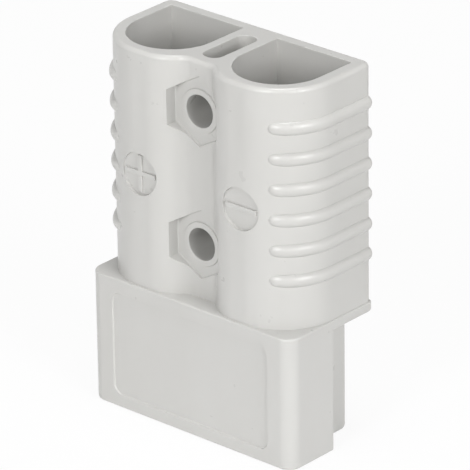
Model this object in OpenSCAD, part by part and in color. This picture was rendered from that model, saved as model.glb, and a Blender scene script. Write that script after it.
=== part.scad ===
// Genderless two-pole power connector, 175 A class, standing on its mating end.
// X runs across the two poles, Z from the mating face to the cable end, Y from front to back.
// The modules are drawn about the contact plane, y = 0, in which the contacts of two mated
// connectors touch: the hood lies on its -Y side and the tongue on its +Y side.
// in_frame() then moves each piece so that the origin is at the middle of the base.

/* [Body] */
// Overall length, from the mating face to the cable end
overall_len = 79; // [70:0.5:95]
// Width of the cable end over its flat sides
body_w = 52.2; // [50:0.1:60]
// Thickness of the cable end, and diameter of the outer round of each lobe
body_t = 24.6; // [23.4:0.1:26]
// Radius of the inner flank of each lobe, where it turns into the valley
flank_r = 9.5; // [8.5:0.1:10]
// Width of the flat crest between the two rounds of a lobe
crest_w = 2.7; // [2:0.1:3.5]
// Depth of the valley between the lobes, below their crests
valley_depth = 3.5; // [3:0.1:4]
// Radius of the blend between the valley floor and a lobe
valley_blend_r = 4; // [3:0.1:4.5]
// Rounding of the rim of the cable end
rim_r = 1; // [0.5:0.1:1.5]
// Radius of the upright edges at the back
back_edge_r = 1.9; // [1.6:0.1:3]

/* [Grip ribs] */
// Number of grip ribs on each side
rib_count = 6; // [3:1:6]
// Distance from rib to rib
rib_pitch = 6.4; // [5:0.1:6.6]
// Height of a rib's centre line for the lowest rib
first_rib_z = 38.8; // [36:0.1:41]
// Width of a rib
rib_w = 2.8; // [2:0.1:3.2]
// How far a rib stands out
rib_proud = 0.85; // [0.5:0.05:1.1]
// Angle that a rib wraps round the lobe before it turns into it
rib_wrap = 45; // [30:1:50]
// Radius of the turn in which a rib sinks into the lobe
rib_turn_r = 6.6; // [5:0.1:7.5]
// Distance between the ribs' round ends and the back
rib_end_gap = 0.15; // [0.05:0.05:0.5]

/* [Hood] */
// Width of the hood
hood_w = 52.8; // [52:0.1:61]
// Height of the hood, up to its ledge
hood_h = 28.4; // [26:0.1:31]
// How far the front of the hood stands out from the lobes
hood_proud = 0.7; // [0.5:0.1:2]
// Thickness of the hood's walls
hood_wall = 3.7; // [3:0.1:4.2]
// Thickness of the collar that closes the top of the hood
collar_t = 2.4; // [2:0.1:3]
// Radius of the hood's upright front edges
hood_corner_r = 3; // [2:0.1:4]
// Rounding of the hood's rim and ledge
hood_edge_r = 0.6; // [0.4:0.1:1.2]
// Radius of the collar's upright back edges
collar_corner_r = 1.4; // [1:0.1:2.5]
// Rounding of the collar's edges behind the hood
collar_edge_r = 0.9; // [0.3:0.1:1]
// Depth of the label field in the hood's front
label_depth = 0.3; // [0.2:0.05:0.6]
// Margin of the label field at the hood's sides
label_side_margin = 6.2; // [5:0.1:9]
// Margin of the label field at the hood's rim and ledge
label_end_margin = 3.1; // [2.5:0.1:5]
// Corner radius of the label field
label_r = 2; // [1:0.1:3]

/* [Tongue] */
// Clearance on each side between the tongue and the hood of the mate
mate_gap = 0.3; // [0.2:0.05:0.6]
// How far the tongue's face lies below the contact plane
tongue_drop = 0.15; // [0.1:0.05:0.4]
// Rounding of the tongue's tip and back edges
tongue_r = 1.5; // [0.8:0.1:2]
// Thickness of the wall that closes the tongue's tip
tip_wall = 1.6; // [1.2:0.1:2]
// Width of a coding rib inside the hood
key_w = 1.6; // [1.2:0.1:2.5]
// Height of a coding rib
key_h = 1.1; // [0.8:0.1:1.4]
// Distance from the middle to each coding rib
key_x = 3.6; // [2.5:0.1:4.5]

/* [Cable chambers] */
// Radius of the round front of each D-shaped chamber
chamber_r = 9.45; // [9:0.05:9.8]
// How far the chamber's round lies in front of the contact plane
chamber_shift = 0.4; // [0:0.1:0.6]
// Thickness of the wall behind each chamber
back_wall = 2.9; // [2:0.1:3.4]
// Thickness of the floor between each chamber and the hood's cavity
chamber_floor_t = 2.7; // [2.4:0.1:4]
// Width of the slot between the chambers
slot_w = 4.4; // [4.3:0.1:4.8]
// Length of the slot between the chambers
slot_len = 13.3; // [8:0.1:13.5]
// Corner radius of the slot
slot_r = 2; // [1:0.1:2.1]
// Depth of the slot between the chambers
slot_depth = 5.5; // [3:0.1:6]
// Distance of the slot's middle behind the contact plane
slot_y = 0.5; // [0:0.1:1.5]

/* [Mounting holes] */
// Diameter of the mounting holes
mount_hole_d = 6.8; // [5:0.1:7]
// Distance between the mounting holes
mount_pitch = 28.3; // [26:0.1:29]
// Height of the lower mounting hole
lower_hole_z = 40; // [38:0.1:41]
// Width across flats of the hexagonal nut recess
nut_flats = 12.9; // [10:0.1:13]
// Depth of the nut recess below the valley floor
nut_recess_depth = 0.45; // [0.4:0.05:1]
// Diameter of the raised ring round the hole, which the nut bears on
seat_ring_d = 9.2; // [8.5:0.1:9.8]
// How far the ring stands out of the recess
seat_ring_proud = 0.3; // [0.1:0.05:0.4]

/* [Polarity marks] */
// Diameter of the round field of each mark
mark_d = 8.8; // [8:0.1:9.4]
// Depth of the round field, below the crest of the lobe
mark_depth = 0.8; // [0.5:0.05:0.9]
// Height of the marks' middle
mark_z = 52.6; // [50:0.1:56]
// Distance from the middle of the connector to the middle of each mark
mark_x = 13.1; // [12:0.1:14]
// Length of the bars of the plus and minus
bar_len = 7.7; // [6:0.1:7.8]
// Thickness of the bars
bar_w = 1; // [0.7:0.1:1.5]
// How far the bars stand out of the round field
bar_proud = 0.4; // [0.2:0.05:0.5]

/* [Contacts] */
// Width of a contact's blade
blade_w = 13.6; // [11:0.1:14]
// Thickness of a contact's blade
blade_t = 3; // [2.5:0.1:3.2]
// Distance from the mating face to the blade's tip
blade_tip_z = 2.4; // [2.2:0.1:4]
// Depth of the hook at the blade's tip
hook_depth = 2; // [1.5:0.1:2.2]
// Thickness of the hook
hook_t = 1.6; // [1.2:0.1:2]
// Outer diameter of the crimp barrel
barrel_od = 15.4; // [14.8:0.1:16]
// Diameter of the wire bore in the crimp barrel
wire_bore_d = 11.2; // [9:0.1:12]
// Length of the crimp barrel
barrel_len = 22; // [18:0.5:26]
// Depth of the wire bore in the crimp barrel
wire_depth = 20; // [15:0.5:24]
// Length of the neck between blade and barrel
neck_len = 6; // [4:0.1:8]
// Diameter of the inspection hole in the barrel
inspect_d = 2.4; // [1.5:0.1:4]
// Clearance on each side of a contact in its channel
contact_gap = 0.2; // [0.1:0.05:0.35]
// Gap at the seats of the contacts and springs
seat_gap = 0.1; // [0.05:0.05:0.2]

/* [Springs] */
// Thickness of a leaf spring
spring_t = 0.8; // [0.6:0.1:1]
// Width of a leaf spring
spring_w = 9; // [7:0.1:11]
// Room behind each blade for its spring
spring_room = 2.6; // [2.4:0.1:3]
// Length of the bent foot of a spring
foot_len = 2; // [1.5:0.1:2.4]
// Length of the part of a spring that lies flat on its seat
spring_flat_len = 5; // [3:0.5:8]
// How far the free end of a spring turns away from the blade
spring_dip = 1; // [0.5:0.1:1.2]
// Length over which the free end turns away
spring_dip_len = 4; // [3:0.1:5]

/* [Hidden] */
$fn = 96;
over = 1;
housing_colour = [0.78, 0.78, 0.76];
silver_colour = [0.86, 0.86, 0.84];
steel_colour = [0.66, 0.67, 0.68];

// Cable end
lobe_r = body_t / 2;
lobe_x = body_w / 2 - lobe_r;
flank_x = lobe_x - crest_w;
flank_y = flank_r - lobe_r;
valley_y = valley_depth - lobe_r;
// Centre of the blend, which touches the valley floor and the flank's round
blend_y = valley_y - valley_blend_r;
blend_reach = flank_r + valley_blend_r;
blend_x = flank_x - sqrt(pow(blend_reach, 2) - pow(flank_y - blend_y, 2));
blend_start = atan2(flank_y - blend_y, flank_x - blend_x);
arc_step = 7.5;
rim_steps = 5;

// Hood, collar and tongue
collar_z = hood_h - collar_t;
hood_y = -lobe_r - hood_proud;
cavity_w = hood_w - 2 * hood_wall;
cavity_y = hood_y + hood_wall;
tongue_w = cavity_w - 2 * mate_gap;
tongue_back_y = -cavity_y - mate_gap;
label_w = hood_w - 2 * label_side_margin;
label_h = hood_h - 2 * label_end_margin;

// Chambers and channels
chamber_z = collar_z + chamber_floor_t;
chamber_back_y = lobe_r - back_wall;
channel_w = blade_w + 2 * contact_gap;
channel_back_y = blade_t + spring_room;

// Mounting holes
hole_heights = [lower_hole_z, lower_hole_z + mount_pitch];
nut_recess_y = valley_y + nut_recess_depth;
mark_floor_y = mark_depth - lobe_r;

// Contacts and springs
neck_z = chamber_z + seat_gap;
barrel_z = neck_z + neck_len;
barrel_top_z = barrel_z + barrel_len;
foot_z = collar_z + collar_t / 2;
foot_gap = 0.3;
spring_seat_y = channel_back_y - spring_t / 2;
spring_top_y = blade_t + seat_gap + spring_t / 2;
spring_end_z = blade_tip_z + hook_t + foot_gap;
spring_crest_z = spring_end_z + spring_dip_len;
spring_rise_z = foot_z - spring_flat_len;
curve_steps = 16;

// Ribs
rib_bead_r = (pow(rib_w / 2, 2) + pow(rib_proud, 2)) / (2 * rib_proud);
rib_centre_r = lobe_r + rib_proud - rib_bead_r;
rib_turn_centre_r = rib_turn_r - rib_bead_r;
rib_end_y = lobe_r - rib_bead_r - rib_end_gap;

// Moves a piece from the contact plane to the middle of the connector's thickness.
module in_frame() {
    translate([0, hood_proud / 2, 0]) children();
}

// The corner that a round of radius r leaves over, outside its quarter circle.
module corner_waste(r) {
    if (r > 0)
        difference() {
            square(2 * r);
            circle(r);
        }
}

// Section of an edge: a rectangle whose outer corners are rounded.
module edge_section(reach, h, top_r, bottom_r) {
    difference() {
        square([reach, h]);
        translate([reach - top_r, h - top_r]) corner_waste(top_r);
        translate([reach - bottom_r, bottom_r]) mirror([0, 1]) corner_waste(bottom_r);
    }
}

// Round post with rounded ends.
module post(r, h, top_r, bottom_r) {
    rotate_extrude() edge_section(r, h, top_r, bottom_r);
}

// Straight run of an edge section along X, its rounded edge towards -Y.
module front_run(from_x, to_x, reach, h, top_r, bottom_r) {
    translate([to_x, 0, 0])
        rotate([90, 0, -90])
        linear_extrude(to_x - from_x)
        edge_section(reach, h, top_r, bottom_r);
}

// Half of a block: square at y = 0, with rounded upright edges at y = -depth.
module half_block(w, depth, h, corner_r, top_r, bottom_r) {
    rotate([90, 0, 0])
        linear_extrude(depth - corner_r)
        for (side = [0, 1])
            mirror([side, 0])
                edge_section(w / 2, h, top_r, bottom_r);
    front_run(corner_r - w / 2, w / 2 - corner_r, depth, h, top_r, bottom_r);
    for (side = [-1, 1])
        translate([side * (w / 2 - corner_r), corner_r - depth, 0])
            post(corner_r, h, top_r, bottom_r);
}

// Rectangle with rounded corners, centred.
module round_rect(w, h, r) {
    square([w - 2 * r, h], center = true);
    square([w, h - 2 * r], center = true);
    for (x = [-1, 1], y = [-1, 1])
        translate([x * (w / 2 - r), y * (h / 2 - r)])
            circle(r);
}

// Bar across a slab between two Y values, drawn in the X-Z plane.
module through_y(from_y, to_y) {
    translate([0, to_y, 0])
        rotate([90, 0, 0])
        linear_extrude(to_y - from_y)
        children();
}

// Points along an arc, without its first point where skip is 1.
function arc(x, y, r, from_a, to_a, skip = 0) =
    let (n = ceil(abs(to_a - from_a) / arc_step))
    [for (i = [skip:n]) let (a = from_a + (to_a - from_a) * i / n) [x + r * cos(a), y + r * sin(a)]];

// Plan of the +X half of the cable end, from the valley round to the back.
function half_plan(inset) = concat(
    arc(blend_x, blend_y, valley_blend_r + inset, 90, blend_start),
    arc(flank_x, flank_y, flank_r - inset, 180 + blend_start, 270, 1),
    arc(lobe_x, 0, lobe_r - inset, -90, 0),
    arc(body_w / 2 - back_edge_r, lobe_r - back_edge_r, back_edge_r - inset, 0, 90)
);

function reversed(list) = [for (i = [len(list) - 1:-1:0]) list[i]];

function plan(inset) =
    let (half = half_plan(inset))
    concat(half, [for (p = reversed(half)) [-p[0], p[1]]]);

// Inset and height of each ring of the cable end, straight up and then round the rim.
function rim_rings(h) = concat(
    [[0, 0]],
    [for (i = [0:rim_steps]) let (a = 90 * i / rim_steps) [rim_r * (1 - cos(a)), h - rim_r * (1 - sin(a))]]
);

// Loft of the cable end's plan, its rim drawn in by the rim's rounding.
module plan_loft(h) {
    rings = rim_rings(h);
    n = len(plan(0));
    last = (len(rings) - 1) * n;
    polyhedron(
        points = [for (ring = rings, p = plan(ring[0])) [p[0], p[1], ring[1]]],
        faces = concat(
            [[for (i = [0:n - 1]) i]],
            [[for (i = [n - 1:-1:0]) last + i]],
            [
                for (row = [0:n:last - n], i = [0:n - 1])
                    let (j = (i + 1) % n)
                    [row + j, row + i, row + n + i, row + n + j]
            ]
        ),
        convexity = 6
    );
}

// Part of a ring about the Z axis, from angle -to_a to -from_a.
module bead_arc(centre_r, from_a, to_a) {
    rotate([0, 0, -to_a])
        rotate_extrude(angle = to_a - from_a)
        translate([centre_r, 0])
        circle(rib_bead_r);
}

// A rounded grip rib that wraps the side, then turns into the lobe and dies out in it.
module grip_rib() {
    translate([lobe_x, 0, 0]) {
        bead_arc(rib_centre_r, 0, rib_wrap);
        rotate([0, 0, -rib_wrap])
            translate([rib_centre_r - rib_turn_centre_r, 0, 0])
            bead_arc(rib_turn_centre_r, 0, 90 - rib_wrap);
        translate([rib_centre_r, 0, 0])
            rotate([-90, 0, 0])
            cylinder(h = rib_end_y, r = rib_bead_r);
        translate([rib_centre_r, rib_end_y, 0])
            sphere(rib_bead_r);
    }
}

module cable_end() {
    translate([0, 0, collar_z]) plan_loft(overall_len - collar_z);
    for (side = [0, 1], i = [0:rib_count - 1])
        mirror([side, 0, 0])
            translate([0, 0, first_rib_z + i * rib_pitch])
            grip_rib();
}

// Outside of the hood, and the collar that carries it and the tongue.
module hood_block() {
    half_block(hood_w, -hood_y, hood_h, hood_corner_r, hood_edge_r, hood_edge_r);
    translate([0, 0, collar_z])
        rotate([0, 0, 180])
        half_block(hood_w, lobe_r, collar_t, collar_corner_r, collar_edge_r, collar_edge_r);
}

module hood_cavity() {
    translate([-cavity_w / 2, cavity_y, -over])
        cube([cavity_w, over - cavity_y, collar_z + over]);
}

module coding_rib(extra) {
    rib_w = key_w + 2 * extra;
    rib_h = key_h + extra;
    translate([-rib_w / 2, 0, 0])
        cube([rib_w, rib_h + over, collar_z]);
}

module coding_ribs() {
    for (side = [-1, 1])
        translate([side * key_x, cavity_y - over, 0])
            coding_rib(0);
}

module tongue() {
    translate([0, tongue_drop, 0])
        rotate([0, 0, 180])
        half_block(tongue_w, tongue_back_y - tongue_drop, chamber_z, tongue_r, 0, tongue_r);
}

// Grooves in the tongue's back, for the coding ribs of the mate.
module coding_grooves() {
    for (side = [-1, 1])
        translate([side * key_x, tongue_back_y + over, -over])
            mirror([0, 1, 0])
            coding_rib(mate_gap);
}

module d_outline() {
    depth = chamber_back_y + chamber_shift;
    translate([0, -chamber_shift]) {
        circle(chamber_r);
        translate([-chamber_r, 0]) square([2 * chamber_r, depth]);
    }
}

module chamber() {
    translate([lobe_x, 0, chamber_z])
        linear_extrude(overall_len - chamber_z + over)
        d_outline();
}

// Way of the blade and spring from the chamber down into the tongue.
module contact_channel() {
    translate([lobe_x - channel_w / 2, -contact_gap, tip_wall])
        cube([channel_w, channel_back_y + contact_gap, chamber_z - tip_wall + over]);
    translate([lobe_x - spring_w / 2 - foot_gap, 0, foot_z - spring_t / 2 - foot_gap])
        cube([
            spring_w + 2 * foot_gap,
            channel_back_y + foot_len + foot_gap,
            spring_t + 2 * foot_gap
        ]);
}

module centre_slot() {
    translate([0, slot_y, overall_len - slot_depth])
        linear_extrude(slot_depth + over)
        round_rect(slot_w, slot_len, slot_r);
}

module nut_recess() {
    front_y = hood_y - over;
    difference() {
        translate([0, nut_recess_y, 0])
            rotate([90, 30, 0])
            cylinder(h = nut_recess_y - front_y, d = nut_flats / cos(30), $fn = 6);
        through_y(nut_recess_y - seat_ring_proud, nut_recess_y + over) circle(d = seat_ring_d);
    }
    through_y(front_y, lobe_r + over) circle(d = mount_hole_d);
}

module mark_field() {
    through_y(hood_y - over, mark_floor_y) circle(d = mark_d);
}

module minus_bar() {
    through_y(mark_floor_y - bar_proud, mark_floor_y + over)
        square([bar_len, bar_w], center = true);
}

module plus_bars() {
    minus_bar();
    rotate([0, 90, 0]) minus_bar();
}

module label_field() {
    translate([0, 0, hood_h / 2])
        through_y(hood_y - over, hood_y + label_depth)
        round_rect(label_w, label_h, label_r);
}

// The moulded housing, one piece.
module housing() {
    color(housing_colour) in_frame() {
        difference() {
            union() {
                cable_end();
                difference() {
                    hood_block();
                    hood_cavity();
                    label_field();
                }
                coding_ribs();
                tongue();
            }
            coding_grooves();
            centre_slot();
            for (side = [0, 1])
                mirror([side, 0, 0]) {
                    chamber();
                    contact_channel();
                }
            for (z = hole_heights)
                translate([0, 0, z])
                    nut_recess();
            for (side = [-1, 1])
                translate([side * mark_x, 0, mark_z])
                    mark_field();
        }
        translate([-mark_x, 0, mark_z]) plus_bars();
        translate([mark_x, 0, mark_z]) minus_bar();
    }
}

// Side view of a blade, in Y and Z, with its rounded nose and hook.
module blade_side() {
    nose_r = blade_t / 2;
    translate([0, blade_tip_z + nose_r])
        square([blade_t, neck_z - blade_tip_z - nose_r + over]);
    translate([nose_r, blade_tip_z + nose_r])
        circle(nose_r);
    translate([nose_r, blade_tip_z])
        square([nose_r + hook_depth - hook_t / 2, hook_t]);
    translate([blade_t + hook_depth - hook_t / 2, blade_tip_z + hook_t / 2])
        circle(hook_t / 2);
}

// Side view of the neck, which ramps from the blade to the barrel.
module neck_side() {
    polygon([
        [0, neck_z],
        [blade_t, neck_z],
        [barrel_od / 2, barrel_z],
        [-barrel_od / 2, barrel_z]
    ]);
}

// Extrudes a side view along X, centred.
module across(w) {
    translate([-w / 2, 0, 0])
        rotate([90, 0, 90])
        linear_extrude(w)
        children();
}

module contact(side) {
    color(silver_colour)
        in_frame()
        translate([side * lobe_x, 0, 0]) {
            across(blade_w) blade_side();
            intersection() {
                translate([0, 0, neck_z]) cylinder(h = neck_len, d = barrel_od);
                across(barrel_od) neck_side();
            }
            difference() {
                translate([0, 0, barrel_z]) cylinder(h = barrel_len, d = barrel_od);
                translate([0, 0, barrel_top_z - wire_depth])
                    cylinder(h = wire_depth + over, d = wire_bore_d);
                translate([0, 0, barrel_top_z - wire_depth + inspect_d])
                    rotate([90, 0, 0])
                    cylinder(h = barrel_od, d = inspect_d);
            }
        }
}

module positive_contact() {
    contact(-1);
}

module negative_contact() {
    contact(1);
}

// Centre line of a spring between its flat seat and its crest under the blade.
function rise_point(t) = [
    spring_seat_y + (spring_top_y - spring_seat_y) * (1 - cos(180 * t)) / 2,
    spring_rise_z + (spring_crest_z - spring_rise_z) * t
];

// Centre line from the crest to the free end.
function dip_point(t) = [
    spring_top_y + spring_dip * (1 - cos(90 * t)),
    spring_crest_z + (spring_end_z - spring_crest_z) * t
];

spring_line = concat(
    [[spring_seat_y, foot_z]],
    [for (i = [0:curve_steps]) rise_point(i / curve_steps)],
    [for (i = [1:curve_steps]) dip_point(i / curve_steps)]
);

// The line moved sideways in Y by half the leaf's thickness.
function leaf_side(sign) = [for (p = spring_line) [p[0] + sign * spring_t / 2, p[1]]];

module spring(side) {
    color(steel_colour)
        in_frame()
        translate([side * lobe_x, 0, 0])
        across(spring_w) {
            polygon(concat(leaf_side(-1), reversed(leaf_side(1))));
            translate([spring_seat_y - spring_t / 2, foot_z - spring_t / 2])
                square([spring_t + foot_len, spring_t]);
        }
}

module positive_spring() {
    spring(-1);
}

module negative_spring() {
    spring(1);
}

housing();
positive_contact();
negative_contact();
positive_spring();
negative_spring();
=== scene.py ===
"""Dresses the genderless power connector: one moulded housing, two contacts, two leaf springs."""
import math

import bmesh
import bpy
from mathutils import Matrix, Vector
from mathutils.bvhtree import BVHTree
from mathutils.interpolate import poly_3d_calc


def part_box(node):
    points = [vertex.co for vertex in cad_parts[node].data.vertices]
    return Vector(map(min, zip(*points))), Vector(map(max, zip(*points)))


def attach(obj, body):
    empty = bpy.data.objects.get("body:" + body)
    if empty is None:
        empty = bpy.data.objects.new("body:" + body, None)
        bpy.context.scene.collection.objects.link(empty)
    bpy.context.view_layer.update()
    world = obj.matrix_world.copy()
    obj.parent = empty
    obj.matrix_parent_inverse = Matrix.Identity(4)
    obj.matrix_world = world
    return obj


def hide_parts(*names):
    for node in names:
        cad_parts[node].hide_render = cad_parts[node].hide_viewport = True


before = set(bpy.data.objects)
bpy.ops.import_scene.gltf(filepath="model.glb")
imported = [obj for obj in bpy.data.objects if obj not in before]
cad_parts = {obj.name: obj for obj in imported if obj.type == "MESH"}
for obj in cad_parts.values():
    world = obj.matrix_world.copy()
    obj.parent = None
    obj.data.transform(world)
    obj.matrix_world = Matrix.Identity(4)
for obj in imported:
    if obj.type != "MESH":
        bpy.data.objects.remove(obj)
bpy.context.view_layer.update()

# ---------------------------------------------------------------- sizes, in millimetres
MM = 0.001
housing_low, housing_high = (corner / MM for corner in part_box("housing"))

RIB_PROUD = 0.85
HOOD_PROUD = 0.7
LENGTH = housing_high.z
BODY_HALF = housing_high.x - RIB_PROUD
LOBE_R = (housing_high.y - housing_low.y - HOOD_PROUD) / 2
LOBE_X = BODY_HALF - LOBE_R
# Shapes are drawn about the contact plane, y = 0, which lies this far behind the origin.
CONTACT_Y = housing_high.y - LOBE_R

FLANK_R = 9.5
CREST = 2.7
VALLEY_DEPTH = 3.5
VALLEY_BLEND = 4.0
RIM_R = 1.0
BACK_EDGE_R = 1.9

HOOD_HALF = 26.4
HOOD_FRONT = -LOBE_R - HOOD_PROUD
HOOD_HEIGHT = 28.4
HOOD_WALL = 3.7
HOOD_CORNER = 3.0
HOOD_EDGE = 0.35
HOOD_RIM = 0.6
COLLAR_Z = 26.0
COLLAR_EDGE = 0.9
COLLAR_CORNER = 1.4
CAVITY_HALF = HOOD_HALF - HOOD_WALL
CAVITY_FRONT = HOOD_FRONT + HOOD_WALL

MATE_GAP = 0.3
TONGUE_HALF = CAVITY_HALF - MATE_GAP
TONGUE_FRONT = 0.15
TONGUE_BACK = -CAVITY_FRONT - MATE_GAP
TONGUE_R = 1.5
TIP_WALL = 1.6
KEY_X, KEY_W, KEY_H = 3.6, 1.6, 1.1
KEY_START = 0.4

CHAMBER_R = 9.45
CHAMBER_SHIFT = 0.4
CHAMBER_BACK = LOBE_R - 2.9
CHAMBER_Z = COLLAR_Z + 2.7
BLADE_HALF, BLADE_THICKNESS = 6.8, 3.0
CHANNEL_GAP = 0.2
SPRING_ROOM = 2.6

SLOT_HALF, SLOT_FRONT, SLOT_BACK = 2.2, -6.15, 7.15
SLOT_R, SLOT_DEPTH, SLOT_FLOOR_R = 2.0, 5.5, 0.3

HOLE_R = 3.4
HOLE_HEIGHTS = (40.0, 68.3)
NUT_FLATS = 12.9
NUT_RECESS_Y = VALLEY_DEPTH - LOBE_R + 0.45
SEAT_RING_R, SEAT_RING_PROUD = 4.6, 0.3

MARK_R = 4.4
MARK_DEPTH = 0.8
MARK_X, MARK_Z = 13.1, 52.6
BAR_LENGTH, BAR_WIDTH, BAR_PROUD = 7.7, 1.0, 0.4

LABEL_MARGIN, LABEL_R = 6.2, 2.0
LABEL_DEPTH, LABEL_DRAFT = 0.3, 0.2

RIB_COUNT, RIB_PITCH, FIRST_RIB_Z = 6, 6.4, 38.8
RIB_WIDTH = 2.8
RIB_WRAP = 45
RIB_TURN_R = 6.6
RIB_END_GAP = 0.15

ARC_STEP = 3.0
MOUTH_R = 0.12
OVER = 1.0
SHARP_ANGLE = 32


# ---------------------------------------------------------------- meshes
def new_object(name, data):
    thing = bpy.data.objects.new(name, data)
    bpy.context.scene.collection.objects.link(thing)
    return thing


def mesh_from(name, bm):
    bmesh.ops.recalc_face_normals(bm, faces=bm.faces)
    mesh = bpy.data.meshes.new(name)
    bm.to_mesh(mesh)
    bm.free()
    return new_object(name, mesh)


def loft(name, rings, matrix=None):
    """Closes a stack of rings with equal point counts into one solid."""
    bm = bmesh.new()
    rows = [[bm.verts.new(point) for point in ring] for ring in rings]
    count = len(rows[0])
    bm.faces.new(rows[0])
    bm.faces.new(rows[-1])
    for low, high in zip(rows, rows[1:]):
        for i in range(count):
            j = (i + 1) % count
            bm.faces.new((low[i], low[j], high[j], high[i]))
    if matrix is not None:
        bm.transform(matrix)
    return mesh_from(name, bm)


def arc(x, y, r, start, end, skip=0):
    """Points on an arc, its angles in degrees, without the first point where skip is 1."""
    count = max(1, math.ceil(abs(end - start) / ARC_STEP))
    angles = [math.radians(start + (end - start) * i / count) for i in range(skip, count + 1)]
    return [(x + r * math.cos(a), y + r * math.sin(a)) for a in angles]


def rounded(x0, x1, y0, y1, radii):
    """Rectangle with one radius per corner: front right, back right, back left, front left."""
    front_right, back_right, back_left, front_left = radii
    return (
        arc(x1 - front_right, y0 + front_right, front_right, -90, 0)
        + arc(x1 - back_right, y1 - back_right, back_right, 0, 90)
        + arc(x0 + back_left, y1 - back_left, back_left, 90, 180)
        + arc(x0 + front_left, y0 + front_left, front_left, 180, 270)
    )


def quarter(r, steps=6):
    """(inset, distance from the end) of a quarter-round edge, from its end inwards."""
    turns = [math.pi / 2 * i / steps for i in range(steps + 1)]
    return [(r * (1 - math.sin(t)), r * (1 - math.cos(t))) for t in turns]


def lift(outline, z):
    return [(x, y, z) for x, y in outline]


def edged(name, outline_at, z0, z1, bottom_r, top_r, matrix=None):
    """Prism between z0 and z1 with quarter-round ends. A negative radius flares the end."""
    rings = []
    for inset, rise in quarter(abs(bottom_r)) if bottom_r else [(0, 0)]:
        rings.append(lift(outline_at(math.copysign(inset, bottom_r)), z0 + rise))
    for inset, rise in reversed(quarter(abs(top_r)) if top_r else [(0, 0)]):
        rings.append(lift(outline_at(math.copysign(inset, top_r)), z1 - rise))
    return loft(name, rings, matrix)


def box(name, x0, x1, y0, y1, z0, z1):
    return loft(name, [lift([(x0, y0), (x1, y0), (x1, y1), (x0, y1)], z) for z in (z0, z1)])


def evaluated_mesh(thing):
    bpy.context.view_layer.update()
    graph = bpy.context.evaluated_depsgraph_get()
    return bpy.data.meshes.new_from_object(thing.evaluated_get(graph))


# Corners, corner normals and triangles of the solids' faces, before they are cut.
face_corners, face_normals, points, triangles, triangle_face = [], [], [], [], []


def remember(thing):
    """Notes the smooth normals of a solid, its flat faces kept flat beside small rounds."""
    thing.data.shade_smooth()
    thing.data.set_sharp_from_angle(angle=math.radians(SHARP_ANGLE))
    step = thing.modifiers.new("weigh", "WEIGHTED_NORMAL")
    step.keep_sharp = True
    step.weight = 80
    mesh = evaluated_mesh(thing)
    thing.modifiers.clear()
    mesh.calc_loop_triangles()
    first_point, first_face = len(points), len(face_corners)
    points.extend(vertex.co.copy() for vertex in mesh.vertices)
    for face in mesh.polygons:
        face_corners.append([mesh.vertices[i].co.copy() for i in face.vertices])
        face_normals.append([mesh.corner_normals[i].vector.copy() for i in face.loop_indices])
    for triangle in mesh.loop_triangles:
        triangles.append([first_point + i for i in triangle.vertices])
        triangle_face.append(first_face + triangle.polygon_index)
    bpy.data.meshes.remove(mesh)


def source_face(tree, centre, normal):
    """The remembered face in which a face lies, and whether it was turned over."""
    best = None
    for reach, least in ((0.004, 0.9999), (0.03, 0.995)):
        for place, direction, index, distance in tree.find_nearest_range(centre, reach):
            facing = direction.dot(normal)
            if abs(facing) > least and (best is None or distance < best[0]):
                best = (distance, triangle_face[index], 1 if facing > 0 else -1)
        if best:
            return best[1:]
    return None


def restore_normals(thing):
    """Gives what is left of each face the normals that it had before the cuts."""
    tree = BVHTree.FromPolygons(points, triangles, all_triangles=True)
    mesh = thing.data
    mesh.shade_smooth()
    normals = [None] * len(mesh.loops)
    for face in mesh.polygons:
        found = source_face(tree, face.center, face.normal)
        for loop in face.loop_indices:
            normal = face.normal
            if found:
                index, sign = found
                corner = mesh.vertices[mesh.loops[loop].vertex_index].co
                shares = poly_3d_calc(face_corners[index], corner)
                mixed = sum((n * share for n, share in zip(face_normals[index], shares)), Vector())
                if mixed.length > 0.5:
                    normal = sign * mixed.normalized()
            normals[loop] = normal
    mesh.normals_split_custom_set(normals)


def combine(target, tool, operation):
    """Adds, cuts or intersects with a tool, and drops it."""
    remember(tool)
    step = target.modifiers.new("combine", "BOOLEAN")
    step.operation = operation
    step.solver = "MANIFOLD"
    step.object = tool
    mesh = evaluated_mesh(target)
    target.modifiers.clear()
    target.data = mesh
    bpy.data.objects.remove(tool)


def add(target, *tools):
    for tool in tools:
        combine(target, tool, "UNION")


def cut(target, *tools):
    for tool in tools:
        combine(target, tool, "DIFFERENCE")


# Turns a solid drawn upwards so that it runs from the front towards the back.
INTO_FRONT = Matrix.Rotation(math.radians(-90), 4, "X")


# ---------------------------------------------------------------- the housing's shapes
def cable_end_plan(inset):
    """Two lobes with a blended valley between them at the front, flat at the back."""
    flank_x, flank_y = LOBE_X - CREST, FLANK_R - LOBE_R
    blend_y = VALLEY_DEPTH - LOBE_R - VALLEY_BLEND
    reach = FLANK_R + VALLEY_BLEND
    blend_x = flank_x - math.sqrt(reach**2 - (flank_y - blend_y) ** 2)
    turn = math.degrees(math.atan2(flank_y - blend_y, flank_x - blend_x))
    back_x, back_y = BODY_HALF - BACK_EDGE_R, LOBE_R - BACK_EDGE_R
    half = (
        arc(blend_x, blend_y, VALLEY_BLEND + inset, 90, turn)
        + arc(flank_x, flank_y, FLANK_R - inset, 180 + turn, 270, skip=1)
        + arc(LOBE_X, 0, LOBE_R - inset, -90, 0)
        + arc(back_x, back_y, BACK_EDGE_R - inset, 0, 90)
    )
    return half + [(-x, y) for x, y in reversed(half)]


def cable_end():
    return edged("cable_end", cable_end_plan, COLLAR_Z + OVER, LENGTH, 0, RIM_R)


def hood_outline(inset):
    return rounded(
        inset - HOOD_HALF, HOOD_HALF - inset, HOOD_FRONT + inset, 0,
        (HOOD_CORNER - inset, 0.3, 0.3, HOOD_CORNER - inset),
    )


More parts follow.
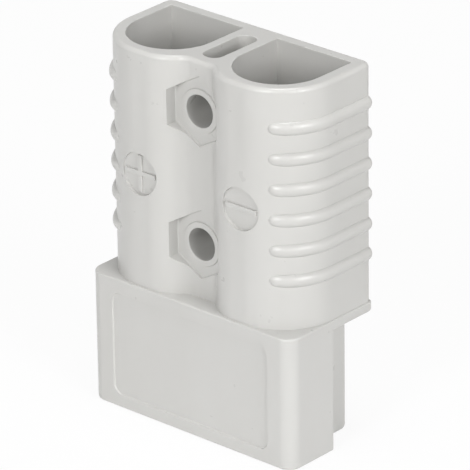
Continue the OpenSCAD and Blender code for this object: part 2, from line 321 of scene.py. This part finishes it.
def collar_outline(inset):
    back_r = COLLAR_CORNER - inset
    return rounded(
        inset - HOOD_HALF, HOOD_HALF - inset, HOOD_FRONT + inset, LOBE_R - inset,
        (HOOD_CORNER - inset, back_r, back_r, HOOD_CORNER - inset),
    )


def tongue_outline(inset):
    corner = TONGUE_R - inset * 0.98
    return rounded(
        inset - TONGUE_HALF, TONGUE_HALF - inset, TONGUE_FRONT, TONGUE_BACK - inset,
        (0.15, corner, corner, 0.15),
    )


def hood_and_tongue(target):
    add(
        target,
        edged("collar", collar_outline, COLLAR_Z, HOOD_HEIGHT, COLLAR_EDGE, HOOD_EDGE),
        edged("hood", hood_outline, 0, HOOD_HEIGHT - OVER, HOOD_RIM, 0),
    )
    cut(
        target,
        box("cavity", -CAVITY_HALF, CAVITY_HALF, CAVITY_FRONT, OVER, -OVER, COLLAR_Z),
    )
    add(target, edged("tongue", tongue_outline, 0, CHAMBER_Z, TONGUE_R, 0))


def chamber_outline(side, inset):
    r = CHAMBER_R - inset
    back = CHAMBER_BACK - inset
    half_round = arc(0, -CHAMBER_SHIFT, r, 180, 360)
    return [(x + side * LOBE_X, y) for x, y in half_round + [(r, back), (-r, back)]]


def chambers(target):
    for side in (-1, 1):
        cut(
            target,
            edged("chamber", lambda inset: chamber_outline(side, inset),
                  CHAMBER_Z, LENGTH, 0, -MOUTH_R),
        )


def channels(target):
    """Ways of the blades from the chambers down into the tongue."""
    half = BLADE_HALF + CHANNEL_GAP
    for side in (-1, 1):
        middle = side * LOBE_X
        cut(
            target,
            box("channel", middle - half, middle + half,
                -CHANNEL_GAP, BLADE_THICKNESS + SPRING_ROOM, TIP_WALL, CHAMBER_Z + OVER),
        )


def coding(target):
    """Ribs inside the hood and, for those of the mate, grooves in the tongue's back."""
    for side in (-1, 1):
        x0, x1 = side * KEY_X - KEY_W / 2, side * KEY_X + KEY_W / 2
        add(
            target,
            box("coding_rib", x0, x1,
                CAVITY_FRONT - OVER, CAVITY_FRONT + KEY_H, KEY_START, COLLAR_Z + OVER),
        )
        cut(
            target,
            box("coding_groove", x0 - MATE_GAP, x1 + MATE_GAP,
                TONGUE_BACK - KEY_H - MATE_GAP, TONGUE_BACK + OVER, -OVER, COLLAR_Z),
        )


def slot_outline(inset):
    half = SLOT_HALF - inset
    return rounded(-half, half, SLOT_FRONT + inset, SLOT_BACK - inset, (SLOT_R - inset,) * 4)


def centre_slot(target):
    cut(target, edged("slot", slot_outline, LENGTH - SLOT_DEPTH, LENGTH, SLOT_FLOOR_R, -MOUTH_R))


def circle(r, count=72):
    return [(r * math.cos(2 * math.pi * i / count), r * math.sin(2 * math.pi * i / count))
            for i in range(count)]


def front_solid(name, profile, x, z, outline=circle):
    """Solid along Y from (outline size, y) pairs, centred on x and z."""
    rings = [[(x + u, y, z + v) for u, v in outline(size)] for size, y in profile]
    return loft(name, rings)


def hexagon(r):
    turns = [math.radians(60 * i) for i in range(6)]
    return [(r * math.sin(t), r * math.cos(t)) for t in turns]


def mounting_holes(target):
    """Through holes, each with a raised seat ring in a hexagonal nut recess."""
    corner_r = NUT_FLATS / 2 / math.cos(math.radians(30))
    front, ring_y = HOOD_FRONT - OVER, NUT_RECESS_Y - SEAT_RING_PROUD
    for z in HOLE_HEIGHTS:
        recess = [(corner_r, front), (corner_r, NUT_RECESS_Y - 0.2), (corner_r - 0.2, NUT_RECESS_Y)]
        ring = [(SEAT_RING_R - 0.15, ring_y), (SEAT_RING_R - 0.04, ring_y + 0.04),
                (SEAT_RING_R, ring_y + 0.15), (SEAT_RING_R + 0.1, NUT_RECESS_Y),
                (SEAT_RING_R + 0.1, NUT_RECESS_Y + OVER)]
        hole = [(HOLE_R + 0.12, front), (HOLE_R + 0.12, ring_y), (HOLE_R + 0.04, ring_y + 0.04),
                (HOLE_R, ring_y + 0.12), (HOLE_R, LOBE_R - 0.25), (HOLE_R + 0.25, LOBE_R),
                (HOLE_R + 0.25, LOBE_R + OVER)]
        cut(target, front_solid("nut_recess", recess, 0, z, hexagon))
        add(target, front_solid("seat_ring", ring, 0, z))
        cut(target, front_solid("bolt_hole", hole, 0, z))


def bar(name, x, z, half_w, half_h):
    """Raised bar of a plus or minus, its top edges rounded."""
    floor = MARK_DEPTH - LOBE_R
    profile = [(0, floor + OVER), (0, floor - BAR_PROUD + 0.1), (-0.05, floor - BAR_PROUD + 0.03),
               (-0.12, floor - BAR_PROUD)]

    def outline(grow):
        w, h = half_w + grow, half_h + grow
        return [(-w, -h), (w, -h), (w, h), (-w, h)]

    return front_solid(name, profile, x, z, outline)


def marks(target):
    """Round fields with a plus on the -X lobe and a minus on the +X lobe."""
    floor = MARK_DEPTH - LOBE_R
    field = [(MARK_R + 0.15, HOOD_FRONT - OVER), (MARK_R + 0.1, floor - 0.3), (MARK_R, floor)]
    for side in (-1, 1):
        cut(target, front_solid("mark_field", field, side * MARK_X, MARK_Z))
        add(target, bar("bar", side * MARK_X, MARK_Z, BAR_LENGTH / 2, BAR_WIDTH / 2))
    add(target, bar("bar", -MARK_X, MARK_Z, BAR_WIDTH / 2, BAR_LENGTH / 2))


def label_field(target):
    """Shallow rounded field in the hood's front, its sides sloping to the floor."""
    half_w, half_h = HOOD_HALF - LABEL_MARGIN, (HOOD_HEIGHT - LABEL_MARGIN) / 2

    def outline(grow):
        w, h = half_w + grow, half_h + grow
        return rounded(-w, w, -h, h, (LABEL_R + grow,) * 4)

    profile = [(LABEL_DRAFT, HOOD_FRONT - OVER), (LABEL_DRAFT, HOOD_FRONT),
               (0, HOOD_FRONT + LABEL_DEPTH)]
    cut(target, front_solid("label_field", profile, 0, HOOD_HEIGHT / 2, outline))


# ---------------------------------------------------------------- grip ribs
def group_input(tree, name, kind, value):
    entry = tree.interface.new_socket(name, in_out="INPUT", socket_type=kind)
    entry.default_value = value
    return entry.identifier


def maths(tree, operation, first, second=None, clamp=False):
    node = tree.nodes.new("ShaderNodeMath")
    node.operation = operation
    node.use_clamp = clamp
    for socket, value in zip(node.inputs, (first, second)):
        if isinstance(value, (int, float)):
            socket.default_value = value
        elif value is not None:
            tree.links.new(value, socket)
    return node.outputs[0]


def rib_tree(material):
    """Rounds a path into a bead with ball ends, and repeats it upwards."""
    tree = bpy.data.node_groups.new("grip_ribs", "GeometryNodeTree")
    tree.is_modifier = True
    tree.interface.new_socket("Geometry", in_out="INPUT", socket_type="NodeSocketGeometry")
    names = {
        "Ribs": group_input(tree, "Ribs", "NodeSocketInt", RIB_COUNT),
        "Pitch": group_input(tree, "Pitch", "NodeSocketFloat", RIB_PITCH),
        "Bead Radius": group_input(tree, "Bead Radius", "NodeSocketFloat", RIB_WIDTH / 2),
    }
    tree.interface.new_socket("Geometry", in_out="OUTPUT", socket_type="NodeSocketGeometry")
    new, link = tree.nodes.new, tree.links.new
    source, result = new("NodeGroupInput"), new("NodeGroupOutput")
    bead_r = source.outputs["Bead Radius"]

    along, whole = new("GeometryNodeSplineParameter"), new("GeometryNodeSplineLength")
    left = maths(tree, "SUBTRACT", whole.outputs["Length"], along.outputs["Length"])
    nearest = maths(tree, "MINIMUM", along.outputs["Length"], left)
    reach = maths(tree, "DIVIDE", nearest, bead_r, clamp=True)
    short = maths(tree, "SUBTRACT", 1.0, reach)
    square = maths(tree, "MULTIPLY", short, short)
    round_end = maths(tree, "SQRT", maths(tree, "SUBTRACT", 1.0, square))

    section = new("GeometryNodeCurvePrimitiveCircle")
    section.inputs["Resolution"].default_value = 40
    link(bead_r, section.inputs["Radius"])
    bead = new("GeometryNodeCurveToMesh")
    bead.inputs["Fill Caps"].default_value = True
    link(source.outputs["Geometry"], bead.inputs["Curve"])
    link(maths(tree, "MAXIMUM", round_end, 0.04), bead.inputs["Scale"])
    link(section.outputs["Curve"], bead.inputs["Profile Curve"])

    offset = new("ShaderNodeCombineXYZ")
    link(source.outputs["Pitch"], offset.inputs["Z"])
    row = new("GeometryNodeMeshLine")
    link(source.outputs["Ribs"], row.inputs["Count"])
    link(offset.outputs["Vector"], row.inputs["Offset"])
    repeat = new("GeometryNodeInstanceOnPoints")
    link(row.outputs["Mesh"], repeat.inputs["Points"])
    link(bead.outputs["Mesh"], repeat.inputs["Instance"])
    real = new("GeometryNodeRealizeInstances")
    link(repeat.outputs["Instances"], real.inputs["Geometry"])
    finish = new("GeometryNodeSetMaterial")
    finish.inputs["Material"].default_value = material
    link(real.outputs["Geometry"], finish.inputs["Geometry"])
    link(finish.outputs["Geometry"], result.inputs["Geometry"])
    return tree, names


def rib_path(side, bead_r):
    """Centre line of one rib: out of the lobe, round it, then straight to the back."""
    r, turn_r = LOBE_R + RIB_PROUD - bead_r, RIB_TURN_R - bead_r
    wrap = math.radians(RIB_WRAP)
    turn_x, turn_y = (r - turn_r) * math.cos(wrap), -(r - turn_r) * math.sin(wrap)
    bend = arc(turn_x, turn_y, turn_r, -90, -RIB_WRAP) + arc(0, 0, r, -RIB_WRAP, 0, skip=1)
    tip = LOBE_R - RIB_END_GAP
    straight = [(r, tip - bead_r * (1 - k / 8) ** 1.5) for k in range(9)]
    return [(side * (LOBE_X + x), y, FIRST_RIB_Z) for x, y in bend + straight]


def grip_ribs(material):
    """Both rows of ribs as one mesh."""
    bead_r = ((RIB_WIDTH / 2) ** 2 + RIB_PROUD**2) / (2 * RIB_PROUD)
    paths = bpy.data.curves.new("grip_ribs", "CURVE")
    paths.dimensions = "3D"
    for side in (-1, 1):
        path = rib_path(side, bead_r)
        spline = paths.splines.new("POLY")
        spline.points.add(len(path) - 1)
        for place, point in zip(spline.points, path):
            place.co = (*point, 1)
    thing = new_object("grip_ribs", paths)
    tree, names = rib_tree(material)
    step = thing.modifiers.new("grip_ribs", "NODES")
    step.node_group = tree
    for name, value in (("Ribs", RIB_COUNT), ("Pitch", RIB_PITCH), ("Bead Radius", bead_r)):
        step[names[name]] = value
    mesh = evaluated_mesh(thing)
    bpy.data.objects.remove(thing)
    bm = bmesh.new()
    bm.from_mesh(mesh)
    bpy.data.meshes.remove(mesh)
    bmesh.ops.remove_doubles(bm, verts=bm.verts, dist=1e-4)
    return mesh_from("grip_ribs", bm)


# ---------------------------------------------------------------- finishes
def shader(name):
    material = bpy.data.materials.new(name)
    material.use_nodes = True
    return material, material.node_tree, material.node_tree.nodes["Principled BSDF"]


def noise(tree, scale, detail=2.0, roughness=0.5, stretch=None):
    place = tree.nodes.new("ShaderNodeTexCoord")
    node = tree.nodes.new("ShaderNodeTexNoise")
    node.inputs["Scale"].default_value = scale
    node.inputs["Detail"].default_value = detail
    node.inputs["Roughness"].default_value = roughness
    vector = place.outputs["Object"]
    if stretch:
        turn = tree.nodes.new("ShaderNodeMapping")
        turn.inputs["Scale"].default_value = stretch
        tree.links.new(vector, turn.inputs["Vector"])
        vector = turn.outputs["Vector"]
    tree.links.new(vector, node.inputs["Vector"])
    return node.outputs["Fac"]


def between(tree, factor, low, high):
    """Maps a noise of about 0.3 to 0.7 to the range from low to high."""
    node = tree.nodes.new("ShaderNodeMapRange")
    for name, value in zip(("From Min", "From Max", "To Min", "To Max"), (0.3, 0.7, low, high)):
        node.inputs[name].default_value = value
    tree.links.new(factor, node.inputs["Value"])
    return node.outputs["Result"]


def blend(tree, factor, first, second):
    node = tree.nodes.new("ShaderNodeMix")
    node.data_type = "RGBA"
    node.inputs["A"].default_value = (*first, 1)
    node.inputs["B"].default_value = (*second, 1)
    tree.links.new(factor, node.inputs["Factor"])
    return node.outputs["Result"]


def bump(tree, height, distance, strength=1.0, base=None):
    node = tree.nodes.new("ShaderNodeBump")
    node.inputs["Distance"].default_value = distance
    node.inputs["Strength"].default_value = strength
    tree.links.new(height, node.inputs["Height"])
    if base is not None:
        tree.links.new(base, node.inputs["Normal"])
    return node.outputs["Normal"]


def moulded_plastic():
    """Light warm grey polycarbonate: fine moulded grain, faint flow waves, uneven gloss."""
    material, tree, surface = shader("moulded_grey_plastic")
    flow = noise(tree, 55, 3, stretch=(1, 1, 0.35))
    link = tree.links.new
    link(blend(tree, between(tree, flow, 0, 1), (0.495, 0.49, 0.472), (0.52, 0.516, 0.5)),
         surface.inputs["Base Color"])
    link(between(tree, noise(tree, 240, 4, 0.6), 0.27, 0.37), surface.inputs["Roughness"])
    waves = bump(tree, noise(tree, 70, 1.5, stretch=(1, 1, 0.3)), 0.00006)
    link(bump(tree, noise(tree, 3800, 2, 0.6), 0.000004, base=waves), surface.inputs["Normal"])
    surface.inputs["IOR"].default_value = 1.5
    return material


def silver_plate():
    material, tree, surface = shader("silver_plate")
    tree.links.new(blend(tree, between(tree, noise(tree, 160, 4, 0.6), 0, 1),
                         (0.82, 0.8, 0.76), (0.9, 0.89, 0.86)), surface.inputs["Base Color"])
    tree.links.new(between(tree, noise(tree, 420, 5, 0.65), 0.22, 0.4), surface.inputs["Roughness"])
    tree.links.new(bump(tree, noise(tree, 2500, 3, 0.6), 0.000003), surface.inputs["Normal"])
    surface.inputs["Metallic"].default_value = 1.0
    return material


def spring_steel():
    material, tree, surface = shader("spring_steel")
    tree.links.new(blend(tree, between(tree, noise(tree, 300, 3, stretch=(8, 1, 0.4)), 0, 1),
                         (0.5, 0.5, 0.51), (0.62, 0.63, 0.64)), surface.inputs["Base Color"])
    tree.links.new(between(tree, noise(tree, 900, 4, stretch=(8, 1, 0.3)), 0.25, 0.42),
                   surface.inputs["Roughness"])
    tree.links.new(bump(tree, noise(tree, 1600, 3, stretch=(8, 1, 0.2)), 0.000004),
                   surface.inputs["Normal"])
    surface.inputs["Metallic"].default_value = 1.0
    return material


# ---------------------------------------------------------------- assembly
def into_frame(thing):
    thing.data.transform(Matrix.Scale(MM, 4) @ Matrix.Translation((0, CONTACT_Y, 0)))


def housing(material):
    body = cable_end()
    remember(body)
    add(body, grip_ribs(material))
    hood_and_tongue(body)
    label_field(body)
    chambers(body)
    channels(body)
    coding(body)
    centre_slot(body)
    mounting_holes(body)
    marks(body)
    restore_normals(body)
    into_frame(body)
    body.name = "moulded_housing"
    body.data.materials.clear()
    body.data.materials.append(material)
    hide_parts("housing")
    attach(body, "root")
    return body


def dress(node, material):
    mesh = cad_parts[node].data
    mesh.materials.clear()
    mesh.materials.append(material)


# ---------------------------------------------------------------- camera and studio
def camera():
    """Long lens from the front right, above the part."""
    azimuth, elevation, roll = math.radians(41.6), math.radians(24.557), math.radians(-0.787)
    back = Vector((
        math.sin(azimuth) * math.cos(elevation),
        -math.cos(azimuth) * math.cos(elevation),
        math.sin(elevation),
    ))
    data = bpy.data.cameras.new("camera")
    data.sensor_width = 36
    data.lens = 378.95
    data.clip_start, data.clip_end = 0.05, 20
    thing = new_object("camera", data)
    thing.rotation_mode = "QUATERNION"
    turn = (-back).to_track_quat("-Z", "Y")
    thing.rotation_quaternion = turn @ Matrix.Rotation(roll, 3, "Z").to_quaternion()
    thing.location = (0.58915, -0.66203, 0.44406)
    bpy.context.scene.camera = thing


def white_world():
    """Plain soft light all round, seen as white."""
    world = bpy.data.worlds.new("studio")
    bpy.context.scene.world = world
    world.use_nodes = True
    tree = world.node_tree
    tree.nodes.clear()
    new, link = tree.nodes.new, tree.links.new
    path, lit, seen, mix, out = (
        new("ShaderNodeLightPath"), new("ShaderNodeBackground"), new("ShaderNodeBackground"),
        new("ShaderNodeMixShader"), new("ShaderNodeOutputWorld"),
    )
    upwards = new("ShaderNodeSeparateXYZ")
    link(new("ShaderNodeTexCoord").outputs["Generated"], upwards.inputs["Vector"])
    fade = new("ShaderNodeMapRange")
    for name, value in zip(("From Min", "From Max", "To Min", "To Max"), (0.15, 0.75, 0.66, 0.12)):
        fade.inputs[name].default_value = value
    link(upwards.outputs["Z"], fade.inputs["Value"])
    link(fade.outputs["Result"], lit.inputs["Strength"])
    seen.inputs["Strength"].default_value = 1.0
    either = maths(tree, "MAXIMUM", path.outputs["Is Camera Ray"], path.outputs["Is Glossy Ray"])
    link(either, mix.inputs["Fac"])
    link(lit.outputs[0], mix.inputs[1])
    link(seen.outputs[0], mix.inputs[2])
    link(mix.outputs[0], out.inputs["Surface"])


def softbox(name, azimuth, elevation, distance, width, height, power):
    """Area light aimed at the part's middle; azimuth 0 is in front, 90 on the right."""
    a, e = math.radians(azimuth), math.radians(elevation)
    back = Vector((math.sin(a) * math.cos(e), -math.cos(a) * math.cos(e), math.sin(e)))
    light = bpy.data.lights.new(name, "AREA")
    light.shape = "RECTANGLE"
    light.size, light.size_y = width, height
    light.energy = power
    thing = new_object(name, light)
    thing.rotation_mode = "QUATERNION"
    thing.rotation_quaternion = (-back).to_track_quat("-Z", "Y")
    thing.location = Vector((0, 0, 0.04)) + back * distance


def floor():
    bm = bmesh.new()
    bmesh.ops.create_grid(bm, x_segments=1, y_segments=1, size=3.0)
    thing = mesh_from("floor", bm)
    material = bpy.data.materials.new("white_floor")
    material.use_nodes = True
    tree = material.node_tree
    new, link = tree.nodes.new, tree.links.new
    tree.nodes.clear()
    path, paper, glow, mix, out = (
        new("ShaderNodeLightPath"), new("ShaderNodeBsdfDiffuse"), new("ShaderNodeEmission"),
        new("ShaderNodeMixShader"), new("ShaderNodeOutputMaterial"),
    )
    paper.inputs["Color"].default_value = (0.8, 0.8, 0.8, 1)
    seen = maths(tree, "MAXIMUM", path.outputs["Is Camera Ray"], path.outputs["Is Glossy Ray"])
    link(maths(tree, "MULTIPLY", seen, 0.92), mix.inputs["Fac"])
    link(paper.outputs[0], mix.inputs[1])
    link(glow.outputs[0], mix.inputs[2])
    link(mix.outputs[0], out.inputs["Surface"])
    thing.data.materials.append(material)


camera()
white_world()
floor()
softbox("left_softbox", 9, 24, 1.4, 0.36, 0.7, 10.5)
softbox("right_softbox", 77, 24, 1.4, 0.5, 0.7, 11)
softbox("top_softbox", 40, 89, 1.2, 0.4, 0.4, 7)
bpy.context.scene.view_settings.view_transform = "Standard"

plastic = moulded_plastic()
housing(plastic)
silver = silver_plate()
steel = spring_steel()
dress("positive_contact", silver)
dress("negative_contact", silver)
dress("positive_spring", steel)
dress("negative_spring", steel)
